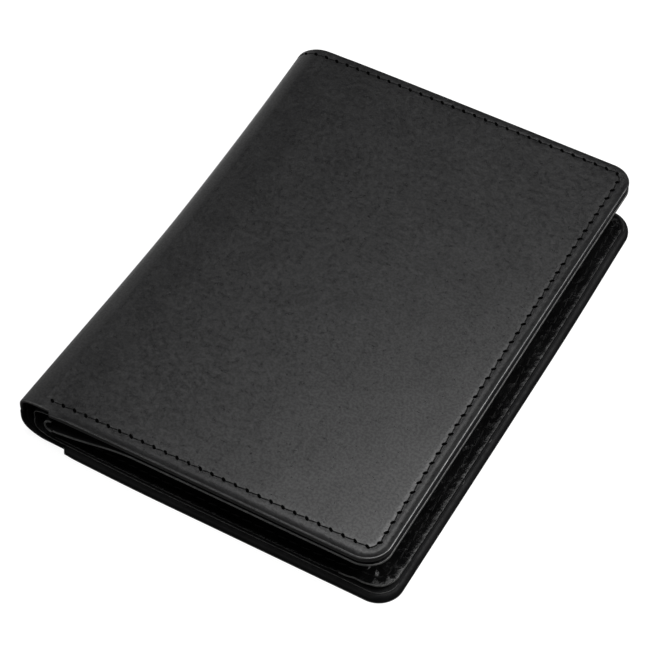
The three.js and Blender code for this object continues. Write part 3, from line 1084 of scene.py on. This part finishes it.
def panel_profile():
    """Turned rim of an inner panel: its inner face carries the seam."""
    half = PANEL_THICK / 2
    turns = np.radians(range(80, -71, -30))
    return [
        (PANEL_RINGS[-1], 0.0, 0),
        (PANEL_RINGS[0], 0.0, 0),
        *[(half * (1 - math.cos(a)), half - half * math.sin(a), 0) for a in turns],
        *[(d, PANEL_THICK, -1) for d in PANEL_RINGS],
    ]


def inner_panel(side):
    _, reach, _, setback = HALVES[side]
    inset = SEAM_INSET - setback
    if side == "front":
        start = 0.0
        end = reach - setback - FRONT_START - PANEL_SAG / 2 - PANEL_THICK / 2 + math.pi * PANEL_SAG / 2
        place = place_front_panel
        leather = inner_nappa
    else:
        start = BACK_START
        end = reach - setback
        place = place_back_panel
        # The back panel's darker leather is painted shade under the front half.
        leather = crinkled_shaded_nappa
    rim = Rim(start, end, HALF_HEIGHT - setback, CORNER - min(setback, PANEL_CORNER_CUT), FINE)
    # The light grey edge material goes all round the front panel's rim, and only round the near free corner
    # of the back panel's: partly the edges' own colour, partly painted highlight lines.
    near_corner = np.hypot(rim.base[:, 0] - end, rim.base[:, 1] + HALF_HEIGHT) < 2 * CORNER
    dressed_and_highlit = near_corner if side == "back" else np.ones(len(rim.base), bool)

    def relief(distance):
        return groove_relief(inset, distance) * INNER_RELIEF

    hook_end = start + HOOK_STRETCH
    margin = end - WRINKLE_MARGIN
    columns = [
        *spread(start, hook_end, HOOK_STEP),
        *spread(hook_end, margin, FACE_STEP)[1:],
        *spread(margin, end, SMALL_STEP)[1:],
    ]
    panel = sheet_piece(
        f"inner_panel_{side}", rim, panel_profile(), place, leather, columns,
        spread(-HALF_HEIGHT, HALF_HEIGHT, SMALL_STEP), relief,
        edge=(edge_dressing_and_highlight, dressed_and_highlit, RIM_WIDTH, 0.0, PANEL_THICK),
    )
    dress(panel, f"{side}_inner_panel", f"{side}_half")
    seam_level = PANEL_THICK - GROOVE_DEPTH * INNER_RELIEF
    seam = stitches(f"inner_panel_{side}_thread", rim, inset, place, seam_level, side=-1)
    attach(seam, f"{side}_half")


for side in HALVES:
    inner_panel(side)


# Card pockets

def card_pocket(index):
    """Open towards the fold; along runs from the seam at the free edge to the open edge."""
    node = f"card_pocket_{index + 1}"
    low, high = node_box(node)
    seam = high[0] - CENTRE_X
    depth = high[0] - low[0]
    level = PANEL_LEVEL + PANEL_THICK + LAYER_GAP + index * POCKET_PITCH

    def where(along, across, inner):
        return place_front(seam - along, across, level + inner)

    def relief(distance):
        return POCKET_GROOVE * bell(distance - POCKET_SEAM, POCKET_GROOVE_WIDTH)

    rim = Rim(0.0, depth, high[1], POCKET_CORNER, RIM_STEP, start_radius=POCKET_FOOT)
    profile = plain_profile(POCKET_THICK, 0.0, POCKET_ROUND, POCKET_RINGS[0])
    profile += [(d, POCKET_THICK, -1) for d in POCKET_RINGS[1:]]
    piece = sheet_piece(
        f"{node}_leather", rim, profile, where, pocket_nappa,
        spread(0.0, depth, LAYER_STEP), spread(-high[1], high[1], LAYER_STEP), relief,
    )
    dress(piece, node, "front_half")


for index in range(POCKET_COUNT):
    card_pocket(index)


# Coin pouch and its flap

def sewn_leather(name, rim, sewn, thick, place, columns, row_step):
    """Leather with a groove on its outer face where it is sewn."""
    def relief(distance):
        return groove_relief(POUCH_SEAM, distance) * INNER_RELIEF * sewn

    face = [(d, 0.0, 1) for d in POUCH_RINGS]
    profile = face + plain_profile(thick, 0.0, POUCH_ROUND, POUCH_RINGS[0])[1:]
    rows = spread(-rim.half, rim.half, row_step)
    return sheet_piece(name, rim, profile, place, pocket_nappa, columns, rows, relief)


def pouch_front():
    half = pouch_high[1]
    rim = Rim(0.0, POUCH_DEPTH, half, POUCH_RADIUS, FINE, start_radius=POUCH_LIP)

    def where(along, across, level):
        return place_pouch(along, across, pouch_high[2] - level)

    sewn = smooth(rim.base[:, 0] - POUCH_UNSEWN)
    thick = pouch_high[2] - pouch_low[2]
    columns = spread(0.0, POUCH_DEPTH, LAYER_STEP)
    piece = sewn_leather("coin_front_leather", rim, sewn, thick, where, columns, LAYER_STEP)
    dress(piece, "coin_front", "back_half")
    sewn_rim = Rim(POUCH_SEAM, POUCH_DEPTH, half, POUCH_RADIUS, FINE)
    seam = stitches("coin_front_thread", sewn_rim, POUCH_SEAM, where, GROOVE_DEPTH * INNER_RELIEF)
    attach(seam, "back_half")


def pouch_gusset():
    """Side strip of the pouch, creased inwards along its middle."""
    rim = Rim(0.0, POUCH_DEPTH, gusset_high[1], POUCH_RADIUS, SMALL_STEP)
    low, high = gusset_low[2], gusset_high[2]
    outer = []
    for share in np.linspace(0.0, 1.0, GUSSET_STEPS + 1):
        crease = GUSSET_CREASE * math.sin(math.pi * share) ** GUSSET_SHARPNESS
        outer.append((GUSSET_INSET + crease, low + (high - low) * share))
    section = outer + [(d + GUSSET_WALL, z) for d, z in outer[::-1]] + outer[:1]
    count = len(rim.base)
    starts = [k * count for k in range(len(section) - 1)]
    faces = quads(len(section), count, closed=False)
    faces.append(tuple(starts))
    faces.append(tuple(start + count - 1 for start in reversed(starts)))
    flat = np.concatenate([rim.inset(d) for d, _ in section])
    heights = np.repeat([z for _, z in section], count)
    points = place_pouch(flat[:, 0], flat[:, 1], heights)
    marks = np.column_stack([flat, heights])
    piece = make_object("coin_gusset_leather", points, faces, marks, pocket_nappa)
    dress(piece, "coin_gusset", "back_half")


def flap():
    """One strip, sewn down at its foot, standing at the mouth and bent over the pouch."""
    half = flap_high[1]
    bent = FLAP_LEAF + FLAP_UNSEWN
    rim = Rim(0.0, FLAP_LENGTH, half, FLAP_TIP, FINE)
    sewn = smooth(rim.base[:, 0] - bent)
    columns = [*spread(0.0, bent, BEND_STEP), *spread(bent, FLAP_LENGTH, FACE_STEP)[1:]]
    leather = sewn_leather("flap_leather", rim, sewn, FLAP_THICK, place_flap, columns, FACE_STEP)
    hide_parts("pouch_flap")
    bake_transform(leather)
    sewn_rim = Rim(FLAP_LEAF + FLAP_SEAM_START, FLAP_LENGTH, half, FLAP_TIP, FINE)
    seam = stitches("flap_thread", sewn_rim, POUCH_SEAM, place_flap, GROOVE_DEPTH * INNER_RELIEF)
    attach(seam, "flap")


def flap_lining():
    low, high = node_box("flap_lining")
    half = high[1]
    inset = flap_high[1] - half
    end = FLAP_LENGTH - inset
    rim = Rim(FLAP_LEAF, end, half, FLAP_TIP - inset, SMALL_STEP, start_radius=FLAP_LINING_CORNER)
    profile = plain_profile(high[2] - low[2], flap_high[2] - high[2], FLAP_LINING_ROUND, FLAP_LINING_RING)
    piece = sheet_piece(
        "flap_lining_cloth", rim, profile, place_flap, lining_twill,
        spread(FLAP_RISER, FLAP_LENGTH, FACE_STEP), spread(-half, half, FACE_STEP),
    )
    dress(piece, "flap_lining", "flap")


pouch_front()
pouch_gusset()
flap()
flap_lining()


# Press stud

def turned_box(node):
    """Radius, foot and top of a turned node."""
    low, high = node_box(node)
    return (high[0] - low[0]) / 2, low[2], high[2]


def press_stud():
    """Cap and socket on the flap, stud and post on the pouch. Each outline lists (radius, height)."""
    radius, low, high = turned_box("snap_cap")
    leaf_top = flap_high[2] + LAYER_GAP
    rim = leaf_top + PLATE
    turns = np.linspace(0.0, math.pi / 2, DOME_STEPS + 1)
    cap = [
        (0.0, low), (SHANK, low), (SHANK, leaf_top), (radius - CAP_TUCK, leaf_top),
        (radius, leaf_top + SOFT_EDGE),
        *[(radius * math.cos(a), rim + (high - rim) * math.sin(a)) for a in turns],
    ]
    radius, low, high = turned_box("snap_socket")
    socket = [
        (SOCKET_BORE + BEVEL, low), (radius - PLATE, low), (radius, low + PLATE), (radius, high),
        (SHANK_HOLE, high), (SHANK_HOLE, high - PLATE), (SOCKET_BORE, high - PLATE),
        (SOCKET_BORE, low + BEVEL), (SOCKET_BORE + BEVEL, low),
    ]
    radius, low, high = turned_box("snap_stud")
    shoulder = low + STUD_PLATE
    seat = shoulder + LAYER_GAP
    stud = [
        (0.0, seat), (SHANK_HOLE, seat), (SHANK_HOLE, low), (radius, low), (radius, shoulder - BEVEL),
        (radius - BEVEL, shoulder), (STUD_NECK, shoulder), (STUD_HEAD - PLATE, shoulder + BEVEL),
        (STUD_HEAD, (shoulder + high) / 2), (STUD_HEAD - PLATE, high - SOFT_EDGE), (STUD_TOP, high),
        (0.0, high),
    ]
    _, low, high = turned_box("snap_post")
    plate = low + POST_PLATE
    post = [
        (0.0, low), (radius - BEVEL, low), (radius, low + BEVEL), (radius, plate), (SHANK, plate),
        (SHANK, high), (0.0, high),
    ]
    outlines = {"snap_cap": cap, "snap_socket": socket, "snap_stud": stud, "snap_post": post}
    for node, outline in outlines.items():
        piece = turned_piece(f"{node}_metal", outline)
        dress(piece, node, "flap" if node in ("snap_cap", "snap_socket") else "back_half")


press_stud()


# Stage

def floor_material():
    """Shows white to the camera, keeps the shadow and throws little light back."""
    material = bpy.data.materials.new("studio_white")
    material.use_nodes = True
    tree = material.node_tree
    shader = tree.nodes["Principled BSDF"]
    shader.inputs["Roughness"].default_value = FLOOR_ROUGHNESS
    shader.inputs["Emission Color"].default_value = WHITE
    rays = add_node(tree, "LightPath", {}).outputs
    mirrored = rays["Is Glossy Ray"]
    lit = add_node(tree, "Math", {0: mirrored, 1: -FLOOR_COLOUR, 2: FLOOR_COLOUR}, operation="MULTIPLY_ADD")
    tree.links.new(lit.outputs[0], shader.inputs["Base Color"])
    seen = add_node(tree, "Math", {0: rays["Is Camera Ray"], 1: FLOOR_SEEN}, operation="MULTIPLY")
    position = add_node(tree, "NewGeometry", {}).outputs["Position"]
    leftwards = add_node(tree, "VectorMath", {0: position, 1: LEFT_WAY}, operation="DOT_PRODUCT")
    brighter = add_node(tree, "MapRange", {
        "Value": leftwards.outputs["Value"], "From Min": LEFT_FROM, "From Max": LEFT_TO,
        "To Min": FLOOR_MIRRORED, "To Max": FLOOR_LEFT,
    })
    glow_inputs = {0: mirrored, 1: brighter.outputs["Result"], 2: seen.outputs[0]}
    glow = add_node(tree, "Math", glow_inputs, operation="MULTIPLY_ADD")
    tree.links.new(glow.outputs[0], shader.inputs["Emission Strength"])
    return material


def studio_floor():
    mesh = bpy.data.meshes.new("studio_floor")
    corners = [(x * FLOOR_REACH, y * FLOOR_REACH, 0.0) for x, y in ((-1, -1), (1, -1), (1, 1), (-1, 1))]
    mesh.from_pydata(corners, [], [(0, 1, 2, 3)])
    mesh.materials.append(floor_material())
    floor = bpy.data.objects.new("studio_floor", mesh)
    floor.location.z = -FLOOR_DROP
    bpy.context.scene.collection.objects.link(floor)


def world_light():
    world = bpy.data.worlds.new("studio_world")
    bpy.context.scene.world = world
    world.use_nodes = True
    background = world.node_tree.nodes["Background"]
    background.inputs["Color"].default_value = WHITE
    background.inputs["Strength"].default_value = WORLD_STRENGTH


def area_light(name, place, target, width, height, watts):
    lamp = bpy.data.lights.new(name, "AREA")
    lamp.shape = "RECTANGLE"
    lamp.size = width
    lamp.size_y = height
    lamp.energy = watts
    item = bpy.data.objects.new(name, lamp)
    item.location = place
    item.rotation_euler = (Vector(target) - Vector(place)).to_track_quat("-Z", "Y").to_euler()
    bpy.context.scene.collection.objects.link(item)


def lamps():
    """Large softbox overhead, one on each side behind the wallet, and a strip in front of it."""
    middle = (0.0, 0.0, 0.0)
    area_light("overhead_softbox", (0.20, 0.10, 0.8), (0.20, 0.10, 0.0), width=0.8, height=0.8, watts=12.0)
    area_light("back_right_softbox", (0.56, 0.48, 0.66), middle, width=0.3, height=0.5, watts=6.5)
    area_light("back_left_softbox", (-0.75, 0.46, 0.36), middle, width=0.4, height=0.7, watts=0.45)
    area_light("front_strip", (-0.29, -0.85, 0.4), middle, width=1.0, height=0.2, watts=2.7)


def photo_camera():
    turn = Matrix.Rotation(CAMERA_AZIMUTH, 4, "Z")
    tilt = Matrix.Rotation(math.pi / 2 - CAMERA_ELEVATION, 4, "X")
    axes = turn @ tilt @ Matrix.Rotation(CAMERA_ROLL, 4, "Z")
    back = axes.col[2].xyz
    data = bpy.data.cameras.new("photo_camera")
    data.sensor_width = SENSOR_MM
    data.lens = SENSOR_MM * FOCAL_PIXELS / IMAGE_PIXELS
    data.clip_start, data.clip_end = CLIP_METRES
    camera = bpy.data.objects.new("photo_camera", data)
    camera.matrix_world = Matrix.Translation((CAMERA_TARGET + back * CAMERA_DISTANCE) * MM) @ axes
    bpy.context.scene.collection.objects.link(camera)
    bpy.context.scene.camera = camera


studio_floor()
world_light()
lamps()
photo_camera()
bpy.context.scene.view_settings.view_transform = "Standard"
